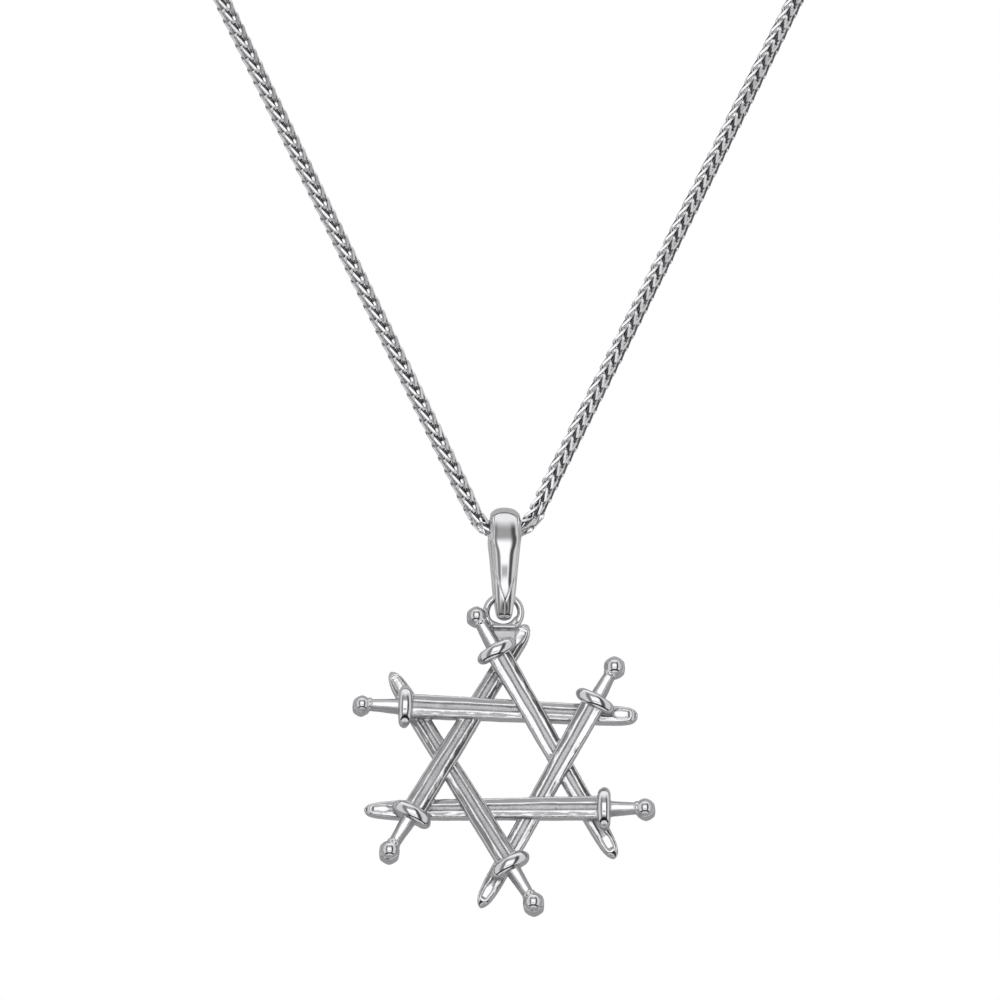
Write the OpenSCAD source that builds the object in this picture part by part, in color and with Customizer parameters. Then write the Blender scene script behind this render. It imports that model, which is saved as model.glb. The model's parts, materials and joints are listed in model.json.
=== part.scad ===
// Star pendant of six woven swords, on its bail and a wheat chain. Millimetres.
// The origin is the middle of the clasp at the nape; +Z is up and the pendant faces -Y.

/* [Star] */
// Distance from the centre of the star to each sword's axis
sword_offset = 4.25; // [3.8:0.05:5]
// Depth between two swords where they cross beside a guard
weave_step = 1.35; // [1:0.05:1.5]
// Height of the ring's centre above the top crossing
ring_lift = 4.15; // [3.9:0.05:4.4]

/* [Sword] */
// Width of a blade at the guard
blade_w = 1.9; // [1.6:0.05:2.2]
// Width of a blade where its point starts
blade_end_w = 1.45; // [1.2:0.05:1.6]
// Thickness of a blade
blade_t = 1.6; // [1.5:0.05:1.9]
// Length of the tapered point
point_l = 1.1; // [0.6:0.05:1.6]
// Length of blade past the last crossing, on the top sword
tip_past = 3.85; // [3:0.05:4.4]
// Width of the groove down a blade
fuller_w = 0.6; // [0.4:0.05:0.8]
// Depth of the groove
fuller_d = 0.35; // [0.2:0.05:0.5]
// Length of blade left uncut at each end of the groove
fuller_end = 0.7; // [0.4:0.05:1.5]
// Width of the bevel along each edge of a blade
edge_bevel = 0.35; // [0.2:0.05:0.45]
// Distance from the first crossing to the middle of the guard
guard_past = 0.95; // [0.8:0.05:1.2]
// Length of the guard across the sword
guard_l = 3.4; // [2.8:0.05:3.8]
// Thickness of the guard at its middle
guard_d = 1.15; // [0.9:0.05:1.3]
// How far the guard's axis lies in front of the sword's
guard_lift = 0.5; // [0.3:0.05:0.7]
// Distance from the guard's middle to the pommel's
grip_l = 3.4; // [3:0.05:4]
// Diameter of the grip at the guard
grip_d = 1.35; // [1.1:0.05:1.5]
// Diameter of the grip at the pommel
grip_end_d = 0.9; // [0.8:0.05:1.2]
// Diameter of the pommel's ball
pommel_d = 1.5; // [1.3:0.05:1.7]
// Depth of the eight-sided cup behind the ball
pommel_cup = 1.35; // [0.5:0.05:1.5]
// Diameter of the cup
pommel_cup_d = 1.65; // [1.5:0.05:1.8]
// Distance from the ball's middle down to the collar
collar_drop = 0.6; // [0.45:0.05:0.7]
// Diameter of the collar under the pommel
collar_d = 1.15; // [1:0.05:1.3]
// Thickness of the collar
collar_t = 0.25; // [0.15:0.05:0.35]

/* [Ring] */
// Outer diameter of the ring on the star
ring_d = 3.5; // [3.3:0.05:4.2]
// Diameter of the ring's wire
ring_wire = 0.6; // [0.5:0.05:0.7]
// Width of the bridge that joins the ring to the swords
bridge_w = 1.9; // [1.4:0.05:2.2]
// Depth of the bridge
bridge_d = 1.1; // [0.8:0.05:1.4]
// How far the bridge reaches below the ring's wire
bridge_drop = 1.1; // [1:0.05:1.5]

/* [Bail] */
// Radius of the round top of the opening, for the chain
bail_bore_r = 1; // [0.9:0.05:1.4]
// Distance between the centres of the opening's round top and round bottom
bail_reach = 5.4; // [4.6:0.1:6.5]
// Thickness of the bail at its top
bail_top_t = 1.2; // [0.9:0.05:1.3]
// Thickness of the bail's tip, below the opening
bail_tip_t = 1.7; // [1.4:0.05:1.8]
// Depth of the bail at its tip
bail_tip_d = 1.3; // [1.1:0.05:1.5]
// Width of the bail at the very top
bail_top_w = 2.45; // [2:0.05:2.6]
// Greatest width, on the upper part of each leg
bail_w = 2.65; // [2.2:0.05:2.9]
// Width of the legs beside the bottom of the opening
bail_leg_w = 1.8; // [1.4:0.05:2]
// Width of the tip
bail_tip_w = 1.3; // [1:0.05:1.4]
// Angle that the bail hangs turned to the left about its upright, in degrees
bail_turn = 4; // [0:1:5]
// Gap all round the ring's wire in the bottom of the opening
eye_gap = 0.12; // [0.06:0.01:0.12]
// Depth of the bail's sides between the dome and the inner face, where the bail is thinnest
bail_rim = 0.12; // [0.1:0.02:0.25]
// Height of the dome on the bail's outer face
bail_dome = 0.66; // [0.4:0.02:0.8]
// How far below its top the bail is deepest
bail_belly_drop = 4; // [3:0.1:4.5]
// Distance from the bail's middle to its outer face there
bail_belly_r = 2.2; // [2:0.05:2.4]

/* [Chain and clasp] */
// Diameter of the chain over its links
chain_d = 1.3; // [1.1:0.05:1.4]
// Gap between the top of the chain and the bail that hangs on it
chain_gap = 0.18; // [0.15:0.01:0.22]
// Length of the clasp
clasp_l = 10; // [8:0.5:12]
// Diameter of the clasp's middle
clasp_d = 3; // [2.6:0.1:4]
// Diameter of the clasp's end sockets
socket_d = 2.1; // [2:0.05:2.5]
// Depth of each socket
socket_l = 1.6; // [1.2:0.1:2]
// Clearance around the chain in its socket
socket_gap = 0.1; // [0.05:0.01:0.15]

/* [Hidden] */
$fn = 40;
silver = [0.82, 0.82, 0.84];
eps = 0.01;

// Half of the chain's route, from the bottom of the bend to the nape, [x, y, z].
// The other half mirrors it.
route = [
    [0, -83, -127.6], [0.8, -83, -127.5], [1.55, -83, -127.15], [2.15, -83, -126.65],
    [2.6, -83, -125.95], [3.3, -83, -124.5], [4.5, -83, -122], [7, -83, -116.85],
    [12, -83, -106.55], [20, -83, -90.05], [30, -83, -69.4], [40.5, -83, -47.7],
    [47, -78, -34.5], [52, -67, -23.5], [53.5, -50, -14], [48.5, -31, -7.5],
    [37.5, -14.5, -3], [23, -4.5, -0.7], [12.5, -0.9, -0.1], [7, -0.1, 0]
];
// Rings of the tube in each stretch between two points of the route
stretch_rings = [1, 1, 1, 1, 1, 1, 1, 1, 1, 2, 3, 3, 3, 4, 4, 4, 3, 2, 1, 1];
chain_sides = 8;

// Heights that follow from one another, down from the chain
bend = route[0];
bail_pivot_z = bend[2] + chain_d / 2 + chain_gap - bail_bore_r;
eye_r = ring_wire / 2 + eye_gap;
eye_z = bail_pivot_z - bail_reach;
ring_mean_r = (ring_d - ring_wire) / 2;
ring_z = eye_z - ring_mean_r;
crossing_out = sword_offset * sqrt(3);
star_z = ring_z - ring_lift - 2 * sword_offset;

// Places along a sword, from the point nearest the star's centre
guard_s = crossing_out + guard_past;
pommel_s = guard_s + grip_l;
weave_angle = atan(weave_step / (2 * crossing_out));

// The six swords, clockwise from the top one. Each was set by hand, so it leans a little in
// the star's plane, [lean in degrees, change of its offset as a share of sword_offset,
// change of its point's length as a share of tip_past].
swords = [
    [1.25, 0.01, 0], [-0.15, -0.033, 0.09], [-1, -0.006, 0.07],
    [0.05, -0.043, 0.09], [-1.4, -0.037, 0.05], [0, -0.008, 0]
];

// A blade's point, [share of its length left, share of the half width]
point_shape = [[1, 1], [0.25, 0.5], [0, 0.12]];
// A guard's half outline, [share of the radius, share of the half length]
guard_shape = [[0, 1], [0.5, 0.97], [0.82, 0.86], [0.93, 0.6], [1, 0]];

// Outline of a blade, seen from the front
function blade_outline(half_start, half_end, start, end, point) = concat(
    [[start, half_start]],
    [for (p = point_shape) [end - point * p[0], half_end * p[1]]],
    [for (i = [len(point_shape) - 1:-1:0]) [end - point * point_shape[i][0], -half_end * point_shape[i][1]]],
    [[start, -half_start]]
);

module plate(points, thickness) {
    rotate([90, 0, 0]) linear_extrude(thickness, center = true) polygon(points);
}

module blade(tip_s) {
    length = guard_s + tip_s;
    taper = atan((blade_w - blade_end_w) / 2 / (length - point_l));
    groove_start = -guard_s + guard_d / 2;
    difference() {
        plate(blade_outline(blade_w / 2, blade_end_w / 2, -guard_s, tip_s, point_l), blade_t);
        translate([0, -blade_t / 2, 0])
            plate(blade_outline(fuller_w / 2, fuller_w / 2 * blade_end_w / blade_w,
                groove_start, tip_s - fuller_end, fuller_end), fuller_d * 2);
        for (side = [-1, 1])
            translate([-guard_s, -blade_t / 2, side * blade_w / 2])
                rotate([0, side * taper, 0]) rotate([45, 0, 0])
                    cube([length * 2 + blade_w, edge_bevel * sqrt(2), edge_bevel * sqrt(2)], center = true);
    }
}

// A bar with rounded ends, across the sword
module guard() {
    last = len(guard_shape) - 1;
    translate([-guard_s, -guard_lift, 0]) rotate_extrude() polygon(concat(
        [for (p = guard_shape) [guard_d / 2 * p[0], guard_l / 2 * p[1]]],
        [for (i = [last - 1:-1:0]) [guard_d / 2 * guard_shape[i][0], -guard_l / 2 * guard_shape[i][1]]]
    ));
}

module hilt() {
    grip_end = pommel_s - collar_drop;
    translate([-guard_s, 0, 0]) rotate([0, -90, 0])
        cylinder(h = grip_end - guard_s, d1 = grip_d, d2 = grip_end_d);
    translate([-grip_end, 0, 0]) rotate([0, 90, 0]) cylinder(h = collar_t, d = collar_d);
    translate([-pommel_s, 0, 0]) {
        sphere(d = pommel_d);
        rotate([-90, 0, 0]) rotate([0, 0, 22.5]) cylinder(h = pommel_cup, d = pommel_cup_d, $fn = 8);
    }
}

module sword(point_change) {
    blade(crossing_out + tip_past * (1 + point_change));
    guard();
    hilt();
}

module ring() {
    translate([0, 0, ring_z - star_z]) rotate([90, 0, 0])
        rotate_extrude() translate([ring_mean_r, 0]) circle(d = ring_wire, $fn = 24);
}

// The bridge runs from the lowest wire of the ring down to the swords' crossing
module bridge() {
    top = ring_z - star_z - ring_mean_r;
    translate([-bridge_w / 2, -bridge_d / 2, top - bridge_drop])
        cube([bridge_w, bridge_d, bridge_drop]);
}

module star() {
    color(silver) translate([0, bend[1], star_z]) {
        for (i = [0:len(swords) - 1])
            rotate([0, i * 360 / len(swords), 0]) translate([0, 0, sword_offset * (1 + swords[i][1])])
                rotate([0, swords[i][0], weave_angle]) sword(swords[i][2]);
        ring();
        bridge();
    }
}

// The bail is a loop in the YZ plane. Its inner face follows two circles and the straight lines
// between them. Its outer face is half an ellipse over the top, a curve down each leg, and a circle
// round the tip.
bail_top_r = bail_bore_r + bail_top_t;
bail_tip_r = bail_tip_d / 2;
tip_centre = bail_tip_t + eye_r - bail_tip_r;
tip_z = -bail_reach - tip_centre;
belly_z = bail_top_r - bail_belly_drop;
leg_power = 1.6;
inner_slope = asin((bail_bore_r - eye_r) / bail_reach);
outer_slope = atan(leg_power * (bail_belly_r - bail_tip_r) / (belly_z - tip_z));
arc_steps = 12;
leg_steps = 8;
section_points = 16;

// Points as [depth, height], from one side of the tip, up that leg, over the top and down the other
function tip_arc(centre, r, slope) =
    [for (i = [-arc_steps / 2:arc_steps / 2])
        let(turn = (90 - slope) * i / (arc_steps / 2)) [r * sin(turn), centre - r * cos(turn)]];
function leg_between(from, to, power) =
    [for (i = [1:leg_steps - 1])
        let(share = i / leg_steps)
        [to[0] - (to[0] - from[0]) * pow(1 - share, power), to[1] - (to[1] - from[1]) * (1 - share)]];
function top_arc(centre, across, up, from, to) =
    [for (i = [0:arc_steps])
        let(turn = from + (to - from) * i / arc_steps) [across * cos(turn), centre + up * sin(turn)]];
function other_leg(leg) = [for (i = [len(leg) - 1:-1:0]) [-leg[i][0], leg[i][1]]];
function side_path(tip, top, power) =
    let(leg = leg_between(tip[len(tip) - 1], top[0], power)) concat(tip, leg, top, other_leg(leg));
inner_path = side_path(
    tip_arc(-bail_reach, eye_r, inner_slope),
    top_arc(0, bail_bore_r, bail_bore_r, -inner_slope, 180 + inner_slope), 1);
outer_path = side_path(
    tip_arc(tip_z, bail_tip_r, outer_slope),
    top_arc(belly_z, bail_belly_r, bail_belly_drop, 0, 180), leg_power);

// Half of the bail's width at a height on its outer face
bail_widths = [
    [tip_z - bail_tip_r, bail_tip_w / 2],
    [-bail_reach - eye_r, bail_leg_w / 2],
    [-bail_bore_r, bail_w / 2],
    [bail_top_r, bail_top_w / 2]
];
function half_width(z) = lookup(z, bail_widths);

// Height of the low crown inside, as a share of the half width or of the thickness if less
crown_share = 0.44;
// Greatest height of the dome as a share of the half width
dome_share = 0.55;

// A section across the loop: domed outside, a rim, and a low crown inside
function bail_section(inner, outer) =
    let(
        across = outer - inner,
        thickness = norm(across),
        out = across / thickness,
        half = half_width(outer[1]),
        crown = min(half, thickness) * crown_share,
        dome = min(bail_dome, half * dome_share, thickness - crown - bail_rim)
    )
    [for (i = [0:section_points - 1])
        let(
            turn = 360 * (i + 0.5) / section_points,
            up = sin(turn) > 0,
            n = up ? thickness - dome + dome * sin(turn) : crown + crown * sin(turn)
        )
        [half * cos(turn), inner[0] + out[0] * n, inner[1] + out[1] * n]];

// A skin over closed sections; a loop joins its last section to its first
function skin_faces(sections, points, closed) =
    let(last = closed ? sections - 1 : sections - 2)
    concat(
        [for (i = [0:last]) for (j = [0:points - 1])
            let(a = i, b = (i + 1) % sections, k = (j + 1) % points)
            [a * points + j, a * points + k, b * points + k, b * points + j]],
        closed ? [] : [
            [for (j = [points - 1:-1:0]) j],
            [for (j = [0:points - 1]) (sections - 1) * points + j]
        ]
    );

module bail() {
    stations = len(inner_path);
    points = [for (i = [0:stations - 1]) each bail_section(inner_path[i], outer_path[i])];
    color(silver) translate([0, bend[1], bail_pivot_z]) rotate([0, 0, bail_turn])
        polyhedron(points, skin_faces(stations, section_points, true), convexity = 6);
}

// The whole route runs from the clasp, down and round the bend, and back up
chain_start = [clasp_l / 2 - socket_l + socket_gap, 0, 0];
half_route = concat(route, [chain_start]);
whole_route = concat(
    [for (i = [len(half_route) - 1:-1:1]) [-half_route[i][0], half_route[i][1], half_route[i][2]]],
    half_route
);
whole_rings = concat(
    [for (i = [len(stretch_rings) - 1:-1:0]) stretch_rings[i]],
    stretch_rings
);

// A smooth curve through four points of the route, at a share of the way from b to c
function curve(a, b, c, d, t) =
    (2 * b + (c - a) * t + (2 * a - 5 * b + 4 * c - d) * t * t + (3 * b - a - 3 * c + d) * t * t * t) / 2;
function route_at(i) =
    i < 0 ? 2 * whole_route[0] - whole_route[1] :
    i >= len(whole_route) ? 2 * whole_route[i - 1] - whole_route[i - 2] : whole_route[i];
chain_line = concat(
    [for (i = [0:len(whole_route) - 2]) for (k = [0:whole_rings[i] - 1])
        curve(route_at(i - 1), route_at(i), route_at(i + 1), route_at(i + 2), k / whole_rings[i])],
    [whole_route[len(whole_route) - 1]]
);

function unit(v) = v / norm(v);
function heading(i) = unit(chain_line[min(i + 1, len(chain_line) - 1)] - chain_line[max(i - 1, 0)]);
// No stretch of the route runs along this direction, so the tube's sides never twist over
across_route = [0, 0.5, -0.87];
// Corners lie on the tube's diameter
function tube_ring(i) =
    let(
        ahead = heading(i),
        side = unit(cross(ahead, across_route)),
        other = cross(ahead, side)
    )
    [for (k = [0:chain_sides - 1])
        let(turn = 360 * (k + 0.5) / chain_sides)
        chain_line[i] + (side * cos(turn) + other * sin(turn)) * chain_d / 2];

module chain() {
    rings = len(chain_line);
    color(silver) polyhedron(
        [for (i = [0:rings - 1]) each tube_ring(i)],
        skin_faces(rings, chain_sides, false), convexity = 6);
}

// A barrel clasp with a socket at each end for the chain
module clasp() {
    body_l = clasp_l - 2 * socket_l;
    color(silver) rotate([0, 90, 0]) difference() {
        union() {
            cylinder(h = clasp_l, d = socket_d, center = true);
            cylinder(h = body_l - (clasp_d - socket_d), d = clasp_d, center = true);
            for (side = [-1, 1]) translate([0, 0, side * (body_l - (clasp_d - socket_d)) / 2])
                mirror([0, 0, side < 0 ? 1 : 0])
                    cylinder(h = (clasp_d - socket_d) / 2, d1 = clasp_d, d2 = socket_d);
        }
        for (side = [-1, 1]) translate([0, 0, side * (clasp_l / 2 - socket_l / 2 + eps)])
            cylinder(h = socket_l + 2 * eps, d = chain_d + 2 * socket_gap, center = true);
    }
}

star();
bail();
chain();
clasp();
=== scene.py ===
import json
import math

import bmesh
import bpy
from mathutils import Matrix, Vector, noise


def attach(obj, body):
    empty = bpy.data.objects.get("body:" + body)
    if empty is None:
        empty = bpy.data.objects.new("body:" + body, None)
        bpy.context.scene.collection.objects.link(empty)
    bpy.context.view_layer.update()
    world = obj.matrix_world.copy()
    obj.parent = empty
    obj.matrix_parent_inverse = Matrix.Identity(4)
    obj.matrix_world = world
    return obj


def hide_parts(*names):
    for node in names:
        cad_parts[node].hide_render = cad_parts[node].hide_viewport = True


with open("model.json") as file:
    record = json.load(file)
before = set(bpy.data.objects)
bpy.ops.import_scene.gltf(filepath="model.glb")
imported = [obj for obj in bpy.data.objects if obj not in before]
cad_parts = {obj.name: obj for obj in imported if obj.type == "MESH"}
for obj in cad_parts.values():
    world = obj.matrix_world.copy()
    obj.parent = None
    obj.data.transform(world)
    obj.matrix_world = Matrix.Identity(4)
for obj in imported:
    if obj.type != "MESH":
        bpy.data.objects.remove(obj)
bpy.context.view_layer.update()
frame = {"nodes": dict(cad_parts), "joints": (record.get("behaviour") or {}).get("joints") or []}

MM = 0.001
JOINTS = {joint["name"]: Vector(joint["pos_m"]) for joint in frame["joints"]}
BAIL_PIVOT = JOINTS["bail_swing"]
RING_CENTRE = JOINTS["star_sway"]

# The sword, as in the solid parts. A place along it is called s: millimetres from its middle, with
# the pommel on the minus side and the point on the plus side.
SWORD_OFFSET_MM = 4.25
RING_LIFT_MM = 4.15
WEAVE_STEP_MM = 1.35
BLADE_W_MM = 1.9
BLADE_END_W_MM = 1.45
BLADE_T_MM = 1.6
GUARD_PAST_MM = 0.95
TIP_PAST_MM = 3.85
GRIP_L_MM = 3.4
CROSSING_OUT_MM = SWORD_OFFSET_MM * math.sqrt(3)
GUARD_S_MM = CROSSING_OUT_MM + GUARD_PAST_MM
POMMEL_S_MM = GUARD_S_MM + GRIP_L_MM
WEAVE_ANGLE = math.atan(WEAVE_STEP_MM / (2 * CROSSING_OUT_MM))
# The ring's centre over the star's
RING_Z_MM = RING_LIFT_MM + 2 * SWORD_OFFSET_MM
STAR_CENTRE = RING_CENTRE - Vector((0, 0, RING_Z_MM * MM))
# Clockwise from the top sword: lean in degrees, and the shares added to its offset and to its
# point's length past the last crossing
SWORDS = [
    (1.25, 0.01, 0), (-0.15, -0.033, 0.09), (-1, -0.006, 0.07), (0.05, -0.043, 0.09),
    (-1.4, -0.037, 0.05), (0, -0.008, 0),
]
# In the same order: how many millimetres the guard and the pommel are set towards the point, and
# the share of its size that the pommel has
HILTS = [
    (0.08, -0.08, 0.94), (0, 0, 1), (0.16, 0.26, 1.1), (-0.1, -0.05, 1.02), (0.28, 0, 1.1),
    (0.47, 0.3, 1.06),
]

# Unevenness that the hand left: how much, over waves how many millimetres long, and its own seed
BLADE_WIDTH_WAVES = (0.03, 2.5, 0)
BLADE_WIDTH_NICKS = (0.02, 0.8, 5)
GROOVE_WIDTH_WAVES = (0.25, 1.8, 10)
GROOVE_DEPTH_WAVES = (0.3, 1.2, 20)
GROOVE_PLACE_WAVES = (0.03, 2.2, 30)
GUARD_WAVES = (0.04, 1.0, 40)
GRIP_WAVES = (0.03, 1.1, 50)
SEED_SPREAD = 7.31
# Halfway between the planes of the noise's own grid, on which it is always 0
NOISE_PLANE = 0.5


# Small tools

def mix(a, b, share):
    return a + (b - a) * share


def smooth(low, high, value):
    """From 0 at low to 1 at high, with soft ends. Low may be the larger of the two."""
    share = min(max((value - low) / (high - low), 0), 1)
    return share * share * (3 - 2 * share)


def uneven(place, index, waves):
    """A slow unevenness along a part of one sword, as a hand-cut wax model has."""
    much, wave, seed = waves
    return much * noise.noise(Vector((place / wave, (index + seed) * SEED_SPREAD, NOISE_PLANE)))


def linear(hex_colour):
    """An sRGB hex colour as the linear numbers that the shader takes."""
    parts = [int(hex_colour[i:i + 2], 16) / 255 for i in (0, 2, 4)]
    return tuple(c / 12.92 if c <= 0.04045 else ((c + 0.055) / 1.055) ** 2.4 for c in parts) + (1,)


def pattern_scale(size_mm):
    """The scale at which the marks of a pattern are this many millimetres across."""
    return 1 / (size_mm * MM)


def add(tree, kind, inputs=None, **settings):
    """Adds a node. An input is set to a number or colour, or linked to another node's output."""
    node = tree.nodes.new(kind)
    for name, value in settings.items():
        setattr(node, name, value)
    for key, value in (inputs or {}).items():
        if isinstance(value, bpy.types.Node):
            value = value.outputs[0]
        if isinstance(value, bpy.types.NodeSocket):
            tree.links.new(value, node.inputs[key])
        else:
            node.inputs[key].default_value = value
    return node


def blank_material(name):
    material = bpy.data.materials.new(name)
    material.use_nodes = True
    material.node_tree.nodes.clear()
    return material, material.node_tree


def loft(shell, rings, place, closed=False):
    """Joins rings of points into a skin, with its two ends capped unless it closes on itself."""
    rows = [[shell.verts.new(place @ Vector(point)) for point in ring] for ring in rings]
    count = len(rows[0])
    pairs = list(zip(rows, rows[1:])) + ([(rows[-1], rows[0])] if closed else [])
    for row, following in pairs:
        for j in range(count):
            k = (j + 1) % count
            shell.faces.new((row[j], row[k], following[k], following[j]))
    if not closed:
        shell.faces.new(list(reversed(rows[0])))
        shell.faces.new(rows[-1])


def scene_object(name, data):
    made = bpy.data.objects.new(name, data)
    bpy.context.scene.collection.objects.link(made)
    return made


def mesh_object(name, shell):
    """Makes a piece of a shell, with its faces turned outwards."""
    bmesh.ops.recalc_face_normals(shell, faces=shell.faces)
    mesh = bpy.data.meshes.new(name)
    shell.to_mesh(mesh)
    shell.free()
    return scene_object(name, mesh)


def bake(piece):
    """Turns a piece and its modifiers into a plain mesh."""
    view = bpy.context.evaluated_depsgraph_get()
    mesh = bpy.data.meshes.new_from_object(piece.evaluated_get(view))
    piece.modifiers.clear()
    piece.data = mesh


# Camera, floor and light

PICTURE_PX = 1000
# How much the picture takes in across the star's own plane
PICTURE_MM = 83.0
# A long lens, since the photograph shows next to no perspective, and the nearest that it sees
LENS = 200.0
SENSOR = 36.0
NEAREST = 0.01
# The camera looks up at the pendant from a little below, and is rolled by a hair
CAMERA_BELOW = math.radians(14.5)
CAMERA_ROLL = math.radians(0.35)
# Where the star's centre lies in the picture
STAR_PX = (503.3, 761.2)


def camera():
    data = bpy.data.cameras.new("camera")
    data.lens = LENS
    data.sensor_width = SENSOR
    data.clip_start = NEAREST
    distance = PICTURE_MM * MM * LENS / SENSOR
    back = Vector((0, -math.cos(CAMERA_BELOW), -math.sin(CAMERA_BELOW)))
    right = Vector((1, 0, 0))
    up = back.cross(right)
    roll = Matrix.Rotation(CAMERA_ROLL, 3, back)
    right, up = roll @ right, roll @ up
    pixel = PICTURE_MM * MM / PICTURE_PX
    middle = PICTURE_PX / 2
    aim = STAR_CENTRE - right * (STAR_PX[0] - middle) * pixel + up * (STAR_PX[1] - middle) * pixel
    made = scene_object("camera", data)
    place = Matrix((right, up, back)).transposed().to_4x4()
    place.translation = aim + back * distance
    made.matrix_world = place
    bpy.context.scene.camera = made


FLOOR_Z = -0.33
FLOOR_HALF = 4
PAPER = "f2f2f0"
# Drawn coarser than real fibres, which would be too fine to show
PAPER_FIBRE_MM = 2.5


def floor():
    """A sheet of matt white paper: even and without gloss, with fibres that are barely raised."""
    shell = bmesh.new()
    bmesh.ops.create_grid(shell, x_segments=1, y_segments=1, size=FLOOR_HALF)
    piece = mesh_object("floor", shell)
    piece.data.transform(Matrix.Translation((0, 0, FLOOR_Z)))
    material, tree = blank_material("matt white paper")
    place = add(tree, "ShaderNodeTexCoord").outputs["Object"]
    fibres = add(tree, "ShaderNodeTexNoise", {
        "Vector": place, "Scale": pattern_scale(PAPER_FIBRE_MM), "Detail": 4.0})
    bump = add(tree, "ShaderNodeBump", {"Height": fibres, "Strength": 0.1, "Distance": 0.2 * MM})
    paper = add(tree, "ShaderNodeBsdfPrincipled", {
        "Base Color": linear(PAPER), "Roughness": 0.9, "Normal": bump})
    add(tree, "ShaderNodeOutputMaterial", {"Surface": paper})
    piece.data.materials.append(material)
    # The metal is lit by the tent all round, not by the paper
    piece.visible_glossy = False


# Panels of the light tent, each over the ones before it: azimuth from the front to the viewer's
# right, elevation, half its width and height and its soft edge, all in degrees, then its brightness
PANELS = [
    (0, 40, 100, 28, 24, 0.46),
    (75, 10, 30, 50, 14, 0.85),
    (-75, 10, 30, 50, 14, 0.85),
    (35, 0, 10, 60, 12, 0.1),
    (-35, 0, 10, 60, 12, 0.28),
    (0, -3, 23, 28, 12, 1.4),
    (0, -15.2, 17, 4.3, 5, 0.6),
    (0, -46.5, 110, 8.5, 5, 0.02),
    (0, -66, 110, 11, 9, 0.9),
    (0, 71, 180, 19, 24, 1.15),
]
WALL_LIGHT = 0.36
# The backdrop behind the pendant, below and above its own height, and how many degrees from that
# height it has each
REAR_LOW = 0.62
REAR_HIGH = 0.57
REAR_CHANGE = 12.0
# The tent turns into the backdrop this many degrees to each side of the picture's plane
REAR_EDGE = 1.0
# A dark seam runs round that plane
SEAM_LIGHT = 0.05
SEAM_HALF = 2.5
SEAM_EDGE = 3.0
WHITE = (1, 1, 1, 1)


def light_tent():
    """The world is a jeweller's light tent: pale walls with brighter panels and dark gaps between
    them. The camera itself sees plain white."""
    world = bpy.data.worlds.new("light tent")
    bpy.context.scene.world = world
    world.use_nodes = True
    tree = world.node_tree
    tree.nodes.clear()
    direction = add(tree, "ShaderNodeTexCoord").outputs["Generated"]
    axes = add(tree, "ShaderNodeSeparateXYZ", {0: direction})
    ahead = add(tree, "ShaderNodeMath", {0: axes.outputs["Y"], 1: -1.0}, operation="MULTIPLY")
    azimuth = add(tree, "ShaderNodeMath", {0: axes.outputs["X"], 1: ahead}, operation="ARCTAN2")
    azimuth = add(tree, "ShaderNodeMath", {0: azimuth}, operation="DEGREES")
    elevation = add(tree, "ShaderNodeMath", {0: axes.outputs["Z"]}, operation="ARCSINE")
    elevation = add(tree, "ShaderNodeMath", {0: elevation}, operation="DEGREES")

    def inside(value, centre, half, edge):
        """1 within a band of angles, falling to 0 over its soft edge."""
        off = add(tree, "ShaderNodeMath", {0: value, 1: centre}, operation="SUBTRACT")
        off = add(tree, "ShaderNodeMath", {0: off}, operation="ABSOLUTE")
        return add(tree, "ShaderNodeMapRange", {
            "Value": off, "From Min": half - edge / 2, "From Max": half + edge / 2,
            "To Min": 1.0, "To Max": 0.0}, interpolation_type="SMOOTHSTEP")

    total = WALL_LIGHT
    for centre, height, half_wide, half_high, edge, bright in PANELS:
        across = inside(azimuth, centre, half_wide, edge)
        upright = inside(elevation, height, half_high, edge)
        panel = add(tree, "ShaderNodeMath", {0: across, 1: upright}, operation="MULTIPLY")
        total = add(tree, "ShaderNodeMix", {0: panel, 2: total, 3: bright})
    behind = add(tree, "ShaderNodeMath", {0: axes.outputs["Y"]}, operation="ARCSINE")
    behind = add(tree, "ShaderNodeMath", {0: behind}, operation="DEGREES")
    rear = add(tree, "ShaderNodeMapRange", {
        "Value": elevation, "From Min": -REAR_CHANGE, "From Max": REAR_CHANGE,
        "To Min": REAR_LOW, "To Max": REAR_HIGH})
    is_rear = add(tree, "ShaderNodeMapRange", {
        "Value": behind, "From Min": -REAR_EDGE, "From Max": REAR_EDGE})
    total = add(tree, "ShaderNodeMix", {0: is_rear, 2: total, 3: rear})
    seam = inside(behind, 0.0, SEAM_HALF, SEAM_EDGE)
    total = add(tree, "ShaderNodeMix", {0: seam, 2: total, 3: SEAM_LIGHT})
    tent = add(tree, "ShaderNodeBackground", {"Color": WHITE, "Strength": total})
    backdrop = add(tree, "ShaderNodeBackground", {"Color": WHITE, "Strength": 1.0})
    seen = add(tree, "ShaderNodeLightPath").outputs["Is Camera Ray"]
    both = add(tree, "ShaderNodeMixShader", {0: seen, 1: tent, 2: backdrop})
    add(tree, "ShaderNodeOutputWorld", {"Surface": both})
    bpy.context.scene.view_settings.view_transform = "Standard"


# Materials. A roughness is given from its lowest to its highest over the pattern.

SILVER = "dcdcde"
CAST_SILVER = "bdbdc0"
# The chain's dark core: oxidised metal, darkened further as painted shade between the strands
OXIDE_AND_SHADE_DARK = "3c3c40"
OXIDE_AND_SHADE_PALE = "8a8a8e"
CASTING_GRAIN_MM = 0.125
CAST_SKIN_ROUGH = (0.38, 0.52)
CAST_SKIN_BUMP = 0.5
POLISH_CLOUD_MM = 1.0
POLISH_ROUGH = (0.04, 0.11)
POLISH_BUMP = 0.04
OXIDE_AND_SHADE_PATCH_MM = 0.2


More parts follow.
